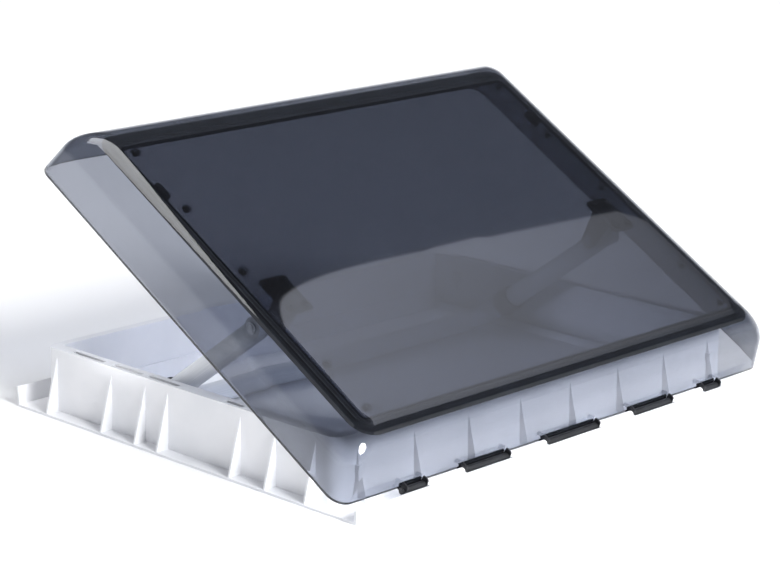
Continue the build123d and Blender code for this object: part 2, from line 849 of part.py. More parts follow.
def make_left_guide():
    """A collar round the arm and a tongue down to the shoe, with a bore for the shoe's pin."""
    x = -arm_side
    collar_end = pivot_radius - bow_bend - collar_lead
    collar_start = collar_end - collar_length
    collar = rod_along_arm(x, collar_start, collar_end, bow_radius + collar_thickness)
    tongue_outer = tongue_inner + tongue_thickness
    half = tongue_width / 2
    start = on_arm(collar_start)
    end = on_arm(pivot_radius)
    outline = [
        (start[0] - half * arm_z, start[1] + half * arm_y),
        (start[0] + half * arm_z, start[1] - half * arm_y),
        (end[0] + half * arm_z, end[1] - half * arm_y),
        (end[0] - half * arm_z, end[1] + half * arm_y)]
    tongue = plate_along_x(-tongue_outer, -tongue_inner, outline)
    tongue += rod_along_x(-tongue_outer, -tongue_inner, *end, half)
    guide = collar + tongue
    guide -= rod_along_arm(
        x, collar_start - cut_margin, collar_end + cut_margin, bow_radius + running_clearance)
    return guide - rod_along_x(
        -tongue_outer - cut_margin, -tongue_inner + cut_margin, *end,
        pin_radius + running_clearance)


def make_left_shoe():
    """The shoe that slides in the rail, with the pin on which it turns in the guide's tongue."""
    y, z = rest_shoe
    x0 = -opening_side - shoe_setback - shoe_depth
    shoe = box_between(
        x0, x0 + shoe_depth, y - shoe_length / 2, y + shoe_length / 2,
        z - shoe_height / 2, z + shoe_height / 2)
    shoe = fillet(shoe.edges().filter_by(Axis.X), shoe_corner)
    head_start = -tongue_inner + side_clearance
    head_end = head_start + shoe_pin_head_length
    shoe += rod_along_x(x0 + shoe_depth / 2, head_end, y, z, pin_radius)
    return shoe + rod_along_x(head_start, head_end, y, z, shoe_pin_head_radius)


save_frame_sections(make_outer_frame())
left_rail = make_left_rail()
save(left_rail, "left_rail")
save(other_side(left_rail), "right_rail")
save(make_rail_screws(), "rail_screws")
left_lock = make_left_lock()
save(left_lock, "left_lock")
save(other_side(left_lock), "right_lock")
save(make_hinge_rod(), "hinge_rod")
save(make_rod_caps(), "rod_caps")

save(opened(make_outer_dome()), "outer_dome")
save(opened(make_inner_pane()), "inner_pane")
save(opened(make_lid_seal()), "lid_seal")
save(opened(make_pane_spacers()), "pane_spacers")
save(opened(lid_screws(pane_hole_places(), pane_level)), "pane_screws")
save(opened(make_pane_clips()), "pane_clips")
strip_names = ("left_end", "left_middle", "centre", "right_middle", "right_end")
for span, place in zip(strip_spans, strip_names):
    save(opened(make_hinge_strip(*span)), f"{place}_hinge_strip")
left_bracket = make_left_bracket()
save(opened(left_bracket), "left_bracket")
save(opened(other_side(left_bracket)), "right_bracket")
save(opened(lid_screws(bracket_hole_places(), pane_level - bracket_plate)), "bracket_screws")
left_pin = make_left_pin()
save(opened(left_pin), "left_pivot_pin")
save(opened(other_side(left_pin)), "right_pivot_pin")
save(opened(make_pin_rings()), "pin_rings")

save(make_bow_tube(), "bow_tube")
left_eye = make_left_eye()
save(left_eye, "left_bow_eye")
save(other_side(left_eye), "right_bow_eye")
left_guide = make_left_guide()
save(left_guide, "left_bow_guide")
save(other_side(left_guide), "right_bow_guide")
left_shoe = make_left_shoe()
save(left_shoe, "left_shoe")
save(other_side(left_shoe), "right_shoe")
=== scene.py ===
import bmesh
import bpy
import numpy as np
from mathutils import Matrix


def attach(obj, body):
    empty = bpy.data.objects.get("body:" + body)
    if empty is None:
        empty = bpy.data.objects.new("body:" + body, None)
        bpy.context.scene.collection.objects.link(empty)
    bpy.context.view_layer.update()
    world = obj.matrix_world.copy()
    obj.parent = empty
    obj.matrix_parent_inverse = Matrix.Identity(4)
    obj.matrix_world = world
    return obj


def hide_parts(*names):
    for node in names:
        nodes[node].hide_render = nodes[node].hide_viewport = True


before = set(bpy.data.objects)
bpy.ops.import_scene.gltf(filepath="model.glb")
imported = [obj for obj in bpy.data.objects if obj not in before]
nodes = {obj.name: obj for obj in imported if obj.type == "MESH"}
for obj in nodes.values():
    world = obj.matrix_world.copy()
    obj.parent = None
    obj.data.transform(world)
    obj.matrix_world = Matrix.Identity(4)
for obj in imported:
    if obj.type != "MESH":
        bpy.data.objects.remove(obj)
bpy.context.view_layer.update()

mm = 0.001
sameSpot = 1e-7   # points closer than this, in metres, are one


# sRGB hex turned to linear values, with alpha 1
def linear(hexColour):
    parts = np.array([int(hexColour[i:i + 2], 16) for i in (1, 3, 5)]) / 255
    values = np.where(parts <= 0.04045, parts / 12.92, ((parts + 0.055) / 1.055) ** 2.4)
    return (*values.tolist(), 1.0)


# Adds a node, sets its properties, its sockets and a ramp's stops, and joins sockets to what feeds them
def addNode(tree, kind, sockets=None, links=None, stops=(), **properties):
    node = tree.nodes.new("ShaderNode" + kind)
    for name, value in properties.items():
        setattr(node, name, value)
    for name, value in (sockets or {}).items():
        node.inputs[name].default_value = value
    for number, (place, colour) in enumerate(stops):
        if number == len(node.color_ramp.elements):
            node.color_ramp.elements.new(place)
        stop = node.color_ramp.elements[number]
        stop.position, stop.color = place, linear(colour)
    for name, source in (links or {}).items():
        tree.links.new(source, node.inputs[name])
    return node


# A material whose nodes are still to come
def newMaterial(name):
    material = bpy.data.materials.new(name)
    material.use_nodes = True
    material.node_tree.nodes.clear()
    return material, material.node_tree


# A grid of points, rows by columns by xyz, becomes a mesh of quads.
# Each quad joins a point to the next one along its row and its column; a closed way joins the last to the
# first. Rows or columns that shrink to one point are merged, then all faces are turned outwards.
def gridObject(name, points, closeRows=False, closeColumns=False, uvSize=None, cutRows=None):
    rows, columns = points.shape[:2]
    rowIndex, columnIndex = np.meshgrid(
        np.arange(rows - (not closeRows)), np.arange(columns - (not closeColumns)), indexing="ij")
    cornerRows = np.stack([rowIndex, rowIndex, rowIndex + 1, rowIndex + 1], axis=-1).reshape(-1, 4)
    cornerColumns = np.stack([columnIndex, columnIndex + 1, columnIndex + 1, columnIndex], axis=-1)
    cornerColumns = cornerColumns.reshape(-1, 4)
    corners = (cornerRows % rows) * columns + cornerColumns % columns
    mesh = bpy.data.meshes.new(name)
    mesh.vertices.add(rows * columns)
    mesh.vertices.foreach_set("co", points.reshape(-1).astype(np.float32))
    mesh.loops.add(corners.size)
    mesh.loops.foreach_set("vertex_index", corners.reshape(-1).astype(np.int32))
    mesh.polygons.add(len(corners))
    mesh.polygons.foreach_set("loop_start", np.arange(0, corners.size, 4, dtype=np.int32))
    mesh.update(calc_edges=True)
    if uvSize is not None:   # u runs along the rows' order, v round the columns, both in metres
        layer = mesh.uv_layers.new(name="along")
        pairs = np.stack([cornerRows / rows * uvSize[0], cornerColumns / columns * uvSize[1]], axis=-1)
        layer.data.foreach_set("uv", pairs.reshape(-1).astype(np.float32))
    if cutRows is not None:   # marks the rows of a sawn edge with 1
        cut = mesh.attributes.new("cut", "FLOAT", "POINT")
        cut.data.foreach_set("value", np.repeat(cutRows, columns).astype(np.float32))
    work = bmesh.new()
    work.from_mesh(mesh)
    bmesh.ops.remove_doubles(work, verts=work.verts, dist=sameSpot)
    bmesh.ops.recalc_face_normals(work, faces=work.faces)
    work.to_mesh(mesh)
    work.free()
    mesh.polygons.foreach_set("use_smooth", np.ones(len(mesh.polygons), dtype=bool))
    piece = bpy.data.objects.new(name, mesh)
    bpy.context.scene.collection.objects.link(piece)
    return piece


# Edges whose faces meet at more than the angle stay crisp
def crispEdges(piece, degrees):
    piece.data.set_sharp_from_angle(angle=np.radians(degrees))


# Rounded rectangle with one row for each pair of half sizes: x = sx (halfX - r) + r cos a and
# y = sy (halfY - r) + r sin a, where a turns a quarter at each corner, and sx or sy runs from one sign to
# the other between two corners
def roundedRows(halfX, halfY, radius, arcSteps, sideSteps):
    signs = [(1, 1), (-1, 1), (-1, -1), (1, -1), (1, 1)]
    sx, sy, turn = [], [], []
    for number in range(4):
        arc = np.linspace(number, number + 1, arcSteps + 1) * np.pi / 2
        share = np.linspace(0, 1, sideSteps + 1)[1:-1]
        here, there = signs[number], signs[number + 1]
        sx += [np.full(arc.size, here[0]), here[0] + (there[0] - here[0]) * share]
        sy += [np.full(arc.size, here[1]), here[1] + (there[1] - here[1]) * share]
        turn += [arc, np.full(share.size, arc[-1])]
    sx, sy, turn = np.concatenate(sx), np.concatenate(sy), np.concatenate(turn)
    halfX, halfY, radius = (np.asarray(a, float)[:, None] for a in (halfX, halfY, radius))
    x = sx * (halfX - radius) + radius * np.cos(turn)
    y = sy * (halfY - radius) + radius * np.sin(turn)
    return x, y


# The open lid: v runs back from the hinge axis and w up from it, both in millimetres. Turned by the angle,
# y = hinge y + v cos a - w sin a and z = hinge z + v sin a + w cos a
hinge = {"y": -298.5, "z": 17.0, "openAngle": 30.5}


def onLid(x, v, w):
    angle = np.radians(hinge["openAngle"])
    x, v, w = np.broadcast_arrays(x, v, w)
    y = hinge["y"] + v * np.cos(angle) - w * np.sin(angle)
    z = hinge["z"] + v * np.sin(angle) + w * np.cos(angle)
    return np.stack([x, y, z], axis=-1) * mm


# Camera, as fitted to the rim of the lid and the walls
view = {
    "place": (-2.26148, -2.14388, 0.97439),
    "right": (0.69296498, -0.72084185, 0.01365857),
    "up": (0.17728666, 0.18873233, 0.96589314),
    "ahead": (0.69883401, 0.66690864, -0.25858054),
    "lens": 114.044,
    "sensor": 36.0,
    "reach": 100.0,
}
lookCamera = bpy.data.cameras.new("camera")
lookCamera.lens = view["lens"]
lookCamera.sensor_width = view["sensor"]
lookCamera.sensor_fit = "HORIZONTAL"
lookCamera.clip_end = view["reach"]
cameraObject = bpy.data.objects.new("camera", lookCamera)
columns = np.column_stack([view["right"], view["up"], np.negative(view["ahead"]), view["place"]])
cameraObject.matrix_world = Matrix([*columns.tolist(), [0, 0, 0, 1]])
bpy.context.scene.collection.objects.link(cameraObject)
bpy.context.scene.camera = cameraObject
print("camera ready")


# Outer frame: ASA, injection moulded in a spark-eroded tool, which leaves a fine even grain and a soft
# shine. The real grain is about a tenth of a millimetre wide and is drawn coarser, so that it shows. Here
# and in the other finishes, widths, lengths and heights of patterns are in millimetres
mouldedFrame = {"tones": ((0.3, "#e6e7ea"), (0.7, "#f2f2f4")), "cloudWidth": 90.0, "grainWidth": 0.9,
                "grainHeight": 0.05, "relief": 0.25, "smooth": 0.34, "rough": 0.5}


def makeMouldedFrame():
    material, tree = newMaterial("mouldedWhiteAsa")
    coords = addNode(tree, "TexCoord")
    place = coords.outputs["Object"]
    cloud = addNode(tree, "TexNoise", {"Scale": 1 / (mouldedFrame["cloudWidth"] * mm), "Detail": 3.0},
                    {"Vector": place})
    grain = addNode(tree, "TexNoise", {"Scale": 1 / (mouldedFrame["grainWidth"] * mm), "Detail": 2.0},
                    {"Vector": place})
    tone = addNode(tree, "ValToRGB", links={"Fac": cloud.outputs["Fac"]}, stops=mouldedFrame["tones"])
    shine = addNode(tree, "MapRange", {"To Min": mouldedFrame["smooth"], "To Max": mouldedFrame["rough"]},
                    {"Value": cloud.outputs["Fac"]})
    bump = addNode(tree, "Bump", {"Strength": mouldedFrame["relief"],
                                  "Distance": mouldedFrame["grainHeight"] * mm},
                   {"Height": grain.outputs["Fac"]})
    surface = addNode(tree, "BsdfPrincipled", {"IOR": 1.52},
                      {"Base Color": tone.outputs["Color"], "Roughness": shine.outputs["Result"],
                       "Normal": bump.outputs["Normal"]})
    addNode(tree, "OutputMaterial", links={"Surface": surface.outputs["BSDF"]})
    return material


# Small moulded parts: a spark-eroded grain makes the shine vary, and the tone clouds between two colours.
# The grain is drawn coarser than it is, so that it shows
smallMoulded = {"darkUpTo": 0.3, "lightFrom": 0.7, "cloudWidth": 25.0, "shineSpread": 0.06, "relief": 0.4}


def makeMoulded(name, dark, light, roughness, grainWidth, grainHeight, ior=1.5):
    material, tree = newMaterial(name)
    coords = addNode(tree, "TexCoord")
    place = coords.outputs["Object"]
    cloud = addNode(tree, "TexNoise", {"Scale": 1 / (smallMoulded["cloudWidth"] * mm), "Detail": 4.0},
                    {"Vector": place})
    grain = addNode(tree, "TexNoise", {"Scale": 1 / (grainWidth * mm), "Detail": 3.0}, {"Vector": place})
    tone = addNode(tree, "ValToRGB", links={"Fac": cloud.outputs["Fac"]},
                   stops=((smallMoulded["darkUpTo"], dark), (smallMoulded["lightFrom"], light)))
    spread = smallMoulded["shineSpread"]
    shine = addNode(tree, "MapRange", {"To Min": roughness - spread, "To Max": roughness + spread},
                    {"Value": grain.outputs["Fac"]})
    bump = addNode(tree, "Bump", {"Strength": smallMoulded["relief"], "Distance": grainHeight * mm},
                   {"Height": grain.outputs["Fac"]})
    surface = addNode(tree, "BsdfPrincipled", {"IOR": ior},
                      {"Base Color": tone.outputs["Color"], "Roughness": shine.outputs["Result"],
                       "Normal": bump.outputs["Normal"]})
    addNode(tree, "OutputMaterial", links={"Surface": surface.outputs["BSDF"]})
    return material


# Plated steel: barrel plated, so the crystals dull the shine in patches of a few millimetres
plating = {"darkUpTo": 0.35, "lightFrom": 0.65, "patchWidth": 10 / 3, "shineSpread": 0.08}


def makePlatedSteel(name, dark, light, roughness):
    material, tree = newMaterial(name)
    coords = addNode(tree, "TexCoord")
    patches = addNode(tree, "TexNoise", {"Scale": 1 / (plating["patchWidth"] * mm), "Detail": 4.0},
                      {"Vector": coords.outputs["Object"]})
    tone = addNode(tree, "ValToRGB", links={"Fac": patches.outputs["Fac"]},
                   stops=((plating["darkUpTo"], dark), (plating["lightFrom"], light)))
    spread = plating["shineSpread"]
    shine = addNode(tree, "MapRange", {"To Min": roughness - spread, "To Max": roughness + spread},
                    {"Value": patches.outputs["Fac"]})
    surface = addNode(tree, "BsdfPrincipled", {"Metallic": 1.0},
                      {"Base Color": tone.outputs["Color"], "Roughness": shine.outputs["Result"]})
    addNode(tree, "OutputMaterial", links={"Surface": surface.outputs["BSDF"]})
    return material


# Bow tube: aluminium, drawn, then powder coated in light grey. Drawing leaves faint lines along the tube
# that still show through the coat, drawn wider than they are, and the coat has the slight orange peel of
# baked powder and a soft shine
coatedTube = {"tones": ((0.3, "#cdd0d5"), (0.7, "#dcdee2")), "lineWidth": 1.2, "lineLength": 90.0,
              "peelWidth": 2.2, "peelHeight": 0.04, "relief": 0.2, "smooth": 0.3, "rough": 0.42}


def makeCoatedTube():
    material, tree = newMaterial("powderCoatedAluminium")
    coords = addNode(tree, "TexCoord")
    perLine = (1 / (coatedTube["lineLength"] * mm), 1 / (coatedTube["lineWidth"] * mm), 1.0)
    stretched = addNode(tree, "Mapping", {"Scale": perLine}, {"Vector": coords.outputs["UV"]})
    lines = addNode(tree, "TexNoise", {"Scale": 1.0, "Detail": 2.0}, {"Vector": stretched.outputs["Vector"]})
    peel = addNode(tree, "TexNoise", {"Scale": 1 / (coatedTube["peelWidth"] * mm), "Detail": 1.0},
                   {"Vector": coords.outputs["Object"]})
    tone = addNode(tree, "ValToRGB", links={"Fac": lines.outputs["Fac"]}, stops=coatedTube["tones"])
    shine = addNode(tree, "MapRange", {"To Min": coatedTube["smooth"], "To Max": coatedTube["rough"]},
                    {"Value": peel.outputs["Fac"]})
    bump = addNode(tree, "Bump", {"Strength": coatedTube["relief"],
                                  "Distance": coatedTube["peelHeight"] * mm},
                   {"Height": peel.outputs["Fac"]})
    surface = addNode(tree, "BsdfPrincipled", {"IOR": 1.5},
                      {"Base Color": tone.outputs["Color"], "Roughness": shine.outputs["Result"],
                       "Normal": bump.outputs["Normal"]})
    addNode(tree, "OutputMaterial", links={"Surface": surface.outputs["BSDF"]})
    return material


# Lid sheets: cast acrylic with a smoke tint. Light loses a share at each face it passes, thermoforming
# leaves a faint slow ripple, wiping leaves a slight haze, and lamps reach what lies under the sheet
# tinted by it. The sawn rim and the first millimetre beside it get painted shade, an opaque near-black
# with no transmission, for the dark edge line; the fade says how far this painted shade reaches
smokedSheet = {"haze": 0.035, "hazeWidth": 71.4, "relief": 0.3, "paintedEdgeFade": (0.68, 0.74)}


def makeSmokedAcrylic(name, tint, lampTint, rippleWidth, rippleHeight, paintedEdgeShade=None):
    material, tree = newMaterial(name)
    coords = addNode(tree, "TexCoord")
    place = coords.outputs["Object"]
    ripple = addNode(tree, "TexNoise", {"Scale": 1 / (rippleWidth * mm), "Detail": 1.0}, {"Vector": place})
    wiped = addNode(tree, "TexNoise", {"Scale": 1 / (smokedSheet["hazeWidth"] * mm), "Detail": 3.0},
                    {"Vector": place})
    shine = addNode(tree, "MapRange", {"To Max": smokedSheet["haze"]}, {"Value": wiped.outputs["Fac"]})
    bump = addNode(tree, "Bump", {"Strength": smokedSheet["relief"], "Distance": rippleHeight * mm},
                   {"Height": ripple.outputs["Fac"]})
    sheet = addNode(tree, "BsdfPrincipled",
                    {"Base Color": linear(tint), "IOR": 1.49, "Transmission Weight": 1.0},
                    {"Roughness": shine.outputs["Result"], "Normal": bump.outputs["Normal"]})
    if paintedEdgeShade:
        # painted shade: the sawn rows turn near-black and stop letting light through
        start, end = smokedSheet["paintedEdgeFade"]
        sawn = addNode(tree, "Attribute", attribute_name="cut")
        tone = addNode(tree, "ValToRGB", links={"Fac": sawn.outputs["Fac"]},
                       stops=((start, tint), (end, paintedEdgeShade)))
        clear = addNode(tree, "MapRange", {"From Min": start, "From Max": end, "To Min": 1.0, "To Max": 0.0},
                        {"Value": sawn.outputs["Fac"]})
        tree.links.new(tone.outputs["Color"], sheet.inputs["Base Color"])
        tree.links.new(clear.outputs["Result"], sheet.inputs["Transmission Weight"])
    through = addNode(tree, "BsdfTransparent", {"Color": linear(lampTint)})
    rays = addNode(tree, "LightPath")
    mix = addNode(tree, "MixShader", links={"Fac": rays.outputs["Is Shadow Ray"]})
    tree.links.new(sheet.outputs["BSDF"], mix.inputs[1])
    tree.links.new(through.outputs["BSDF"], mix.inputs[2])
    addNode(tree, "OutputMaterial", links={"Surface": mix.outputs["Shader"]})
    return material


# Seal: EPDM rubber, extruded. Talc and bloom leave it matt, with a greyish film over a fine grain, which
# is drawn coarser than it is
sealFilm = {"tones": ((0.35, "#141517"), (0.7, "#222428")), "filmWidth": 33.3, "grainWidth": 0.625,
            "grainHeight": 0.05, "relief": 0.3, "smooth": 0.42, "rough": 0.6}


def makeSealRubber():
    material, tree = newMaterial("extrudedEpdmRubber")
    coords = addNode(tree, "TexCoord")
    place = coords.outputs["Object"]
    film = addNode(tree, "TexNoise", {"Scale": 1 / (sealFilm["filmWidth"] * mm), "Detail": 5.0},
                   {"Vector": place})
    grain = addNode(tree, "TexNoise", {"Scale": 1 / (sealFilm["grainWidth"] * mm), "Detail": 2.0},
                    {"Vector": place})
    tone = addNode(tree, "ValToRGB", links={"Fac": film.outputs["Fac"]}, stops=sealFilm["tones"])
    shine = addNode(tree, "MapRange", {"To Min": sealFilm["smooth"], "To Max": sealFilm["rough"]},
                    {"Value": film.outputs["Fac"]})
    bump = addNode(tree, "Bump", {"Strength": sealFilm["relief"], "Distance": sealFilm["grainHeight"] * mm},
                   {"Height": grain.outputs["Fac"]})
    surface = addNode(tree, "BsdfPrincipled", {"IOR": 1.5},
                      {"Base Color": tone.outputs["Color"], "Roughness": shine.outputs["Result"],
                       "Normal": bump.outputs["Normal"]})
    addNode(tree, "OutputMaterial", links={"Surface": surface.outputs["BSDF"]})
    return material


mouldedWhite = makeMouldedFrame()
slidingPom = makeMoulded("mouldedGreyPom", "#c9ccd1", "#d6d8dc", 0.38, 0.8, 0.02, 1.48)
shoePom = makeMoulded("mouldedWhitePom", "#d9d9d4", "#e6e6e2", 0.36, 0.8, 0.02, 1.48)
blackAbs = makeMoulded("mouldedBlackAbs", "#131417", "#1d1f23", 0.46, 0.7, 0.06, 1.54)
blackStrip = makeMoulded("extrudedBlackAsa", "#17181b", "#232529", 0.42, 0.9, 0.04, 1.52)
clipBlack = makeMoulded("mouldedBlackTpe", "#101113", "#1a1b1e", 0.6, 0.6, 0.05, 1.5)
eyeNylon = makeMoulded("mouldedGreyNylon", "#c4c6cb", "#d8dade", 0.4, 0.8, 0.03, 1.53)
spacerClear = makeSmokedAcrylic("bondedClearAcrylic", "#b4b8bf", "#d8dade", 4.0, 0.02)
platedSteel = makePlatedSteel("zincPlatedSteel", "#9a9da2", "#bfc1c5", 0.34)
blackenedSteel = makePlatedSteel("blackPlatedSteel", "#1a1b1d", "#303236", 0.4)
coatedMetal = makeCoatedTube()
sealRubber = makeSealRubber()
# the last colour is the painted shade on the sawn rim
outerAcrylic = makeSmokedAcrylic("smokedCastAcrylicShell", "#8f939d", "#f3f4f5", 60.0, 0.01, "#141518")
innerAcrylic = makeSmokedAcrylic("smokedCastAcrylicPane", "#6c707c", "#a4a6ac", 90.0, 0.01)
print("materials ready")

finishes = {
    mouldedWhite: [name for name in nodes if name.startswith("frame_")],
    slidingPom: ("left_rail", "right_rail", "left_lock", "right_lock"),
    shoePom: ("left_shoe", "right_shoe"),
    blackAbs: ("left_bracket", "right_bracket", "left_bow_guide", "right_bow_guide", "rod_caps"),
    blackStrip: ("left_end_hinge_strip", "left_middle_hinge_strip", "centre_hinge_strip",
                 "right_middle_hinge_strip", "right_end_hinge_strip"),
    clipBlack: ("pane_clips",),
    eyeNylon: ("left_bow_eye", "right_bow_eye"),
    spacerClear: ("pane_spacers",),
    platedSteel: ("rail_screws", "hinge_rod", "left_pivot_pin", "right_pivot_pin", "pin_rings"),
    blackenedSteel: ("pane_screws", "bracket_screws"),
    innerAcrylic: ("inner_pane",),
}
for material, names in finishes.items():
    for name in names:
        for cadSlot in nodes[name].material_slots:
            cadSlot.material = material
print("solids finished")


# Outer shell of the lid: thermoformed sheet with a leaning skirt, a round shoulder and a low crown
shell = {
    "halfX": 404.0, "halfV": 306.0, "middleV": 311.5, "height": 78.0, "draft": 12.0, "shoulder": 48.0,
    "rimCorner": 22.0, "cornerLoss": 2.0, "thickness": 3.0, "crown": 1.0, "rimEdge": 0.5,
    "arcSteps": 14, "sideSteps": 26, "skirtSteps": 8, "shoulderSteps": 22, "topSteps": 10,
}


# The profile of one face of the sheet as inset and height, at an offset in from the outer face. Up the
# skirt, inset = offset / cos lean + height tan lean; round the shoulder, inset = centre + radius cos a and
# height = centre + radius sin a
def shellProfile(offset):
    lean = np.radians(shell["draft"])
    radius = shell["shoulder"] - offset
    centreW = shell["height"] - shell["shoulder"]
    centreInset = centreW * np.tan(lean) + shell["shoulder"] / np.cos(lean)
    turn = np.linspace(np.pi - lean, np.pi / 2, shell["shoulderSteps"] + 1)
    arcInset = centreInset + radius * np.cos(turn)
    arcW = centreW + radius * np.sin(turn)
    skirtW = np.linspace(0, 1, shell["skirtSteps"] + 1)[:-1] * arcW[0]
    skirtInset = offset / np.cos(lean) + skirtW * np.tan(lean)
    return np.concatenate([skirtInset, arcInset]), np.concatenate([skirtW, arcW])


# Rows run from the middle of the top down the outer face, round the rim and up the inner face. On the top,
# the half sizes shrink by a share from 1 to 0, and the height rises by the crown times 1 less the share
# squared
def makeShell():
    rowSets = []
    for offset in (0.0, shell["thickness"]):
        inset, height = shellProfile(offset)
        corner = shell["rimCorner"] - shell["cornerLoss"] * height / shell["height"] - offset
        halfX, halfV = shell["halfX"] - inset, shell["halfV"] - inset
        share = np.linspace(1, 0, shell["topSteps"] + 1)[1:]
        crownHeight = height[-1] - shell["crown"] * share ** 2
        height = height * (height[-1] - shell["crown"]) / height[-1]   # leaves the crown its height
        halfX = np.concatenate([halfX, halfX[-1] * share])
        halfV = np.concatenate([halfV, halfV[-1] * share])
        corner = np.concatenate([corner, corner[-1] * share])
        height = np.concatenate([height, crownHeight])
        rowSets.append((halfX, halfV, corner, height))
    outer, inner = rowSets
    edge = shell["rimEdge"]   # the sawn rim has its two edges broken
    rim = [np.array([o[0] - edge, i[0] + edge]) for o, i in zip(outer[:3], inner[:3])] + [np.zeros(2)]
    outer[3][0] = inner[3][0] = edge
    halfX, halfV, corner, height = (np.concatenate([o[::-1], r, i]) for o, r, i in zip(outer, rim, inner))
    x, v = roundedRows(halfX, halfV, corner, shell["arcSteps"], shell["sideSteps"])
    points = onLid(x, v + shell["middleV"], height[:, None])
    cutRows = (height <= edge).astype(float)   # the sawn face and its two broken edges
    return gridObject("smoked_shell", points, closeColumns=True, cutRows=cutRows)


smokedShell = makeShell()
smokedShell.data.materials.append(outerAcrylic)
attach(smokedShell, "lid")
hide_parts("outer_dome")
print("shell made")


# Seal: one closed profile of inset and height, carried round two rounded outlines. The foot leans in under
# the shell's shoulder and is measured from the wide outline, the body with its two grooves from the narrow
# one
seal = {
    "foot": {"halfX": 371.5, "halfV": 270.0, "middleV": 308.0, "corner": 28.5,
             "profile": ((0.5, 68.3), (0.0, 68.6), (2.8, 69.9), (3.6, 70.1))},
    "body": {"halfX": 367.0, "halfV": 261.0, "middleV": 306.0, "corner": 24.0,
             "profile": ((2.2, 70.1), (2.7, 69.5), (3.3, 69.5), (3.8, 70.1), (4.9, 70.1), (5.6, 70.8),
                         (5.8, 71.9), (6.4, 72.5), (8.8, 72.5), (9.3, 71.8), (10.0, 71.8), (10.5, 72.5),
                         (13.6, 72.5), (14.4, 71.9), (14.4, 69.8), (14.7, 69.5), (18.5, 69.5), (19.0, 69.1),
                         (18.8, 68.5), (18.2, 68.3), (12.6, 68.3), (12.0, 69.1), (10.6, 69.1), (10.0, 68.3),
                         (7.0, 68.3), (6.4, 69.1), (5.0, 69.1), (4.4, 68.3))},
    "arcSteps": 10, "sideSteps": 8, "crispFrom": 40.0,
}


# Each row is its outline drawn in by the profile's inset, at its height: half size less inset and corner
# less inset
def makeSeal():
    halfX, halfV, middleV, corner, heights = [], [], [], [], []
    for part in (seal["foot"], seal["body"]):
        inset, height = np.array(part["profile"]).T
        halfX.append(part["halfX"] - inset)
        halfV.append(part["halfV"] - inset)
        corner.append(part["corner"] - inset)
        middleV.append(np.full(inset.size, part["middleV"]))
        heights.append(height)
    x, v = roundedRows(np.concatenate(halfX), np.concatenate(halfV), np.concatenate(corner),
                       seal["arcSteps"], seal["sideSteps"])
    points = onLid(x, v + np.concatenate(middleV)[:, None], np.concatenate(heights)[:, None])
    piece = gridObject("pane_seal", points, closeRows=True, closeColumns=True)
    crispEdges(piece, seal["crispFrom"])
    return piece


paneSeal = makeSeal()
paneSeal.data.materials.append(sealRubber)
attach(paneSeal, "lid")
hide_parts("lid_seal")
print("seal made")


# Bow: a tube bent twice in one plane. The path runs down the left arm, round a quarter bend, along the
# crossbar and up the right arm; each ring is centre + radius (cos a side + sin a normal). Pivot and arm
# are y and z, the arm as a way of length 1
bow = {
    "pivot": (-82.5026, 174.4076), "arm": (0.808162, -0.588953), "armX": 320.0, "length": 267.268,
    "neck": 20.0, "bend": 42.0, "radius": 14.0, "wall": 1.6,
    "armSteps": 12, "crossSteps": 20, "bendSteps": 20, "ringSteps": 40, "crispFrom": 40.0,
}


def makeBowTube():
    armX, bend, length = bow["armX"], bow["bend"], bow["length"]
    down = np.linspace(bow["neck"], length - bend, bow["armSteps"])
    turn = np.linspace(0, np.pi / 2, bow["bendSteps"] + 1)[1:-1]
    across = np.linspace(-armX + bend, armX - bend, bow["crossSteps"])
    x = np.concatenate([np.full(down.size, -armX), -armX + bend - bend * np.cos(turn), across,
                        armX - bend + bend * np.sin(turn), np.full(down.size, armX)])
    s = np.concatenate([down, length - bend + bend * np.sin(turn), np.full(across.size, length),
                        length - bend + bend * np.cos(turn), down[::-1]])
    arm = np.array([0.0, *bow["arm"]])
    centre = x[:, None] * np.array([1.0, 0, 0]) + s[:, None] * arm + np.array([0.0, *bow["pivot"]])
    normal = np.cross([1.0, 0, 0], arm)
    way = np.gradient(centre, axis=0)
    way /= np.linalg.norm(way, axis=1, keepdims=True)
    side = np.cross(normal, way)
    around = np.linspace(0, 2 * np.pi, bow["ringSteps"], endpoint=False)
    ring = np.cos(around)[None, :, None] * side[:, None] + np.sin(around)[None, :, None] * normal
    outer = centre[:, None] + bow["radius"] * ring
    inner = centre[:, None] + (bow["radius"] - bow["wall"]) * ring
    points = np.concatenate([outer, inner[::-1]]) * mm
    runs = np.linalg.norm(np.diff(centre, axis=0), axis=1).sum() * mm
    piece = gridObject("bow_pipe", points, closeRows=True, closeColumns=True,
                       uvSize=(2 * runs, 2 * np.pi * bow["radius"] * mm))
    crispEdges(piece, bow["crispFrom"])
    return piece


bowPipe = makeBowTube()
bowPipe.data.materials.append(coatedMetal)
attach(bowPipe, "bow")
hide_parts("bow_tube")
print("bow made")


# Floor: matt paint, rolled, with broad pale clouds. It runs out of the picture on all sides; its half
# size is in metres
floorPaint = {"half": 40.0, "tones": ((0.0, "#f7f7f8"), (1.0, "#fbfbfb")), "cloudWidth": 667.0}


def makeFloor():
    material, tree = newMaterial("paleFloorPaint")
    coords = addNode(tree, "TexCoord")
    cloud = addNode(tree, "TexNoise", {"Scale": 1 / (floorPaint["cloudWidth"] * mm), "Detail": 2.0},
                    {"Vector": coords.outputs["Object"]})
    tone = addNode(tree, "ValToRGB", links={"Fac": cloud.outputs["Fac"]}, stops=floorPaint["tones"])
    surface = addNode(tree, "BsdfPrincipled", {"Roughness": 0.9, "Specular IOR Level": 0.1},
                      {"Base Color": tone.outputs["Color"]})
    addNode(tree, "OutputMaterial", links={"Surface": surface.outputs["BSDF"]})
    half = floorPaint["half"]
    x, y = np.meshgrid([-half, half], [-half, half], indexing="ij")
    floor = gridObject("floor", np.stack([x, y, np.zeros_like(x)], axis=-1))
    floor.data.materials.append(material)


makeFloor()
print("floor made")


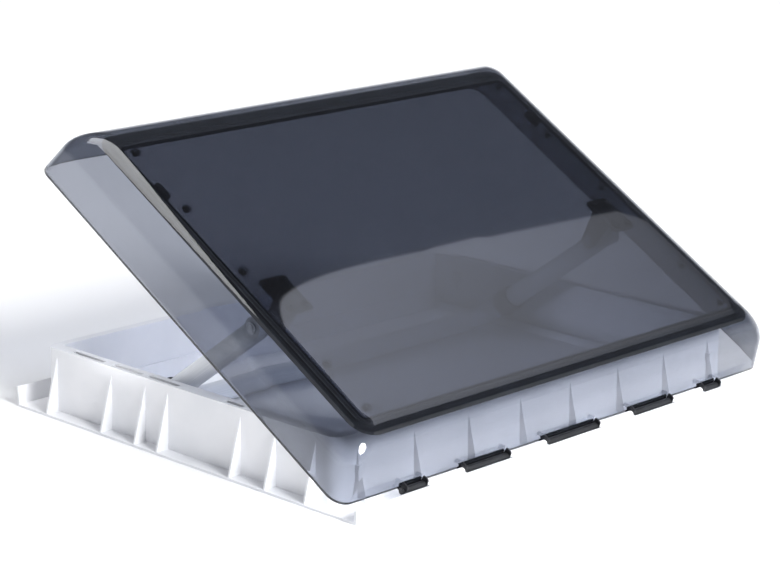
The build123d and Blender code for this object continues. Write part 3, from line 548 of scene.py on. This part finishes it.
# Studio light: a broad soft sun from the front, soft boxes as area lamps with rounded corners, a spot
# that reaches the inside through the gap at the left, and a room that is bright near the horizon and dim
# above it. A lamp's strength is the radiance of its face; its power is pi x area x radiance
sun = {"from": (0.02, -0.85, 0.52), "strength": 5.0, "spread": 26.0}
lamps = {
    "right": {"place": (2.08, -0.52, 2.0), "size": (1.86, 1.40), "turn": 0.0, "strength": 1.75,
              "farShare": 0.1, "colour": "#f1f4ff"},
    "overhead": {"place": (-0.03, 0.73, 3.0), "size": (1.8, 1.5), "turn": 26.0, "strength": 4.8,
                 "farShare": 1.0, "colour": "#ffffff"},
}
spot = {"place": (-1.5, 0.6, 0.62), "aim": (0.15, -0.05, 0.05), "power": 260.0, "cone": 11.0, "blend": 0.7,
        "radius": 0.05}
roomLight = {"tones": ((0.0, "#f4f5f8"), (0.12, "#e9ebef"), (0.32, "#54575e")), "strength": 1.25}


# Turns a thing so that its -Z looks along a way, from a place
def lookAlong(thing, way, place):
    way = np.array(way, float) / np.linalg.norm(way)
    side = np.cross(way, [0, 0, 1.0])
    side /= np.linalg.norm(side)
    rows = np.column_stack([side, np.cross(side, way), -way, place])
    thing.matrix_world = Matrix([*rows.tolist(), [0, 0, 0, 1]])
    bpy.context.scene.collection.objects.link(thing)


softFace = {"fadeFrom": 0.9}


# The face ends where the eighth powers of both coordinates, from -1 to 1 across it, add up to 1, with a
# narrow fade before that. From its near end to its far end it dims to the far share
def roundFace(softBox, farShare):
    softBox.use_nodes = True
    tree = softBox.node_tree
    tree.nodes.clear()
    place = addNode(tree, "NewGeometry")
    centred = addNode(tree, "Mapping", {"Location": (-1.0, -1.0, 0.0), "Scale": (2.0, 2.0, 1.0)},
                      {"Vector": place.outputs["Parametric"]})
    squared = addNode(tree, "VectorMath", operation="MULTIPLY")
    fourth = addNode(tree, "VectorMath", operation="MULTIPLY")
    eighth = addNode(tree, "VectorMath", operation="DOT_PRODUCT")
    for socket in (0, 1):
        tree.links.new(centred.outputs["Vector"], squared.inputs[socket])
        tree.links.new(squared.outputs["Vector"], fourth.inputs[socket])
        tree.links.new(fourth.outputs["Vector"], eighth.inputs[socket])
    fade = addNode(tree, "MapRange", {"From Min": softFace["fadeFrom"], "To Min": 1.0, "To Max": 0.0},
                   {"Value": eighth.outputs["Value"]}, interpolation_type="SMOOTHSTEP")
    along = addNode(tree, "SeparateXYZ", links={"Vector": place.outputs["Parametric"]})
    dimmed = addNode(tree, "MapRange", {"To Min": 1.0, "To Max": farShare}, {"Value": along.outputs["X"]})
    both = addNode(tree, "Math", operation="MULTIPLY")
    tree.links.new(fade.outputs["Result"], both.inputs[0])
    tree.links.new(dimmed.outputs["Result"], both.inputs[1])
    glow = addNode(tree, "Emission", links={"Strength": both.outputs["Value"]})
    addNode(tree, "OutputLight", links={"Surface": glow.outputs["Emission"]})


for lampName, lamp in lamps.items():
    softBox = bpy.data.lights.new(lampName, "AREA")
    softBox.shape = "RECTANGLE"
    softBox.size, softBox.size_y = lamp["size"]
    softBox.energy = np.pi * lamp["size"][0] * lamp["size"][1] * lamp["strength"]
    softBox.color = linear(lamp["colour"])[:3]
    roundFace(softBox, lamp["farShare"])
    hung = bpy.data.objects.new(lampName, softBox)
    hung.location = lamp["place"]
    hung.rotation_euler = (0.0, 0.0, np.radians(lamp["turn"]))
    bpy.context.scene.collection.objects.link(hung)

sunLamp = bpy.data.lights.new("sun", "SUN")
sunLamp.energy = sun["strength"]
sunLamp.angle = np.radians(sun["spread"])
lookAlong(bpy.data.objects.new("sun", sunLamp), np.negative(sun["from"]), sun["from"])

spotLamp = bpy.data.lights.new("spot", "SPOT")
spotLamp.energy = spot["power"]
spotLamp.spot_size = np.radians(spot["cone"])
spotLamp.spot_blend = spot["blend"]
spotLamp.shadow_soft_size = spot["radius"]
hungSpot = bpy.data.objects.new("spot", spotLamp)
hungSpot.visible_glossy = hungSpot.visible_transmission = False   # no gleam on the lid
lookAlong(hungSpot, np.subtract(spot["aim"], spot["place"]), spot["place"])


# The colour follows the upward part of the way one looks, 0 at the horizon and 1 straight up
def makeRoom():
    room = bpy.data.worlds.new("room")
    room.use_nodes = True
    tree = room.node_tree
    tree.nodes.clear()
    coords = addNode(tree, "TexCoord")
    way = addNode(tree, "SeparateXYZ", links={"Vector": coords.outputs["Generated"]})
    tone = addNode(tree, "ValToRGB", links={"Fac": way.outputs["Z"]}, stops=roomLight["tones"])
    sky = addNode(tree, "Background", {"Strength": roomLight["strength"]}, {"Color": tone.outputs["Color"]})
    addNode(tree, "OutputWorld", links={"Surface": sky.outputs["Background"]})
    bpy.context.scene.world = room


makeRoom()
bpy.context.scene.view_settings.view_transform = "Standard"
print("light ready")
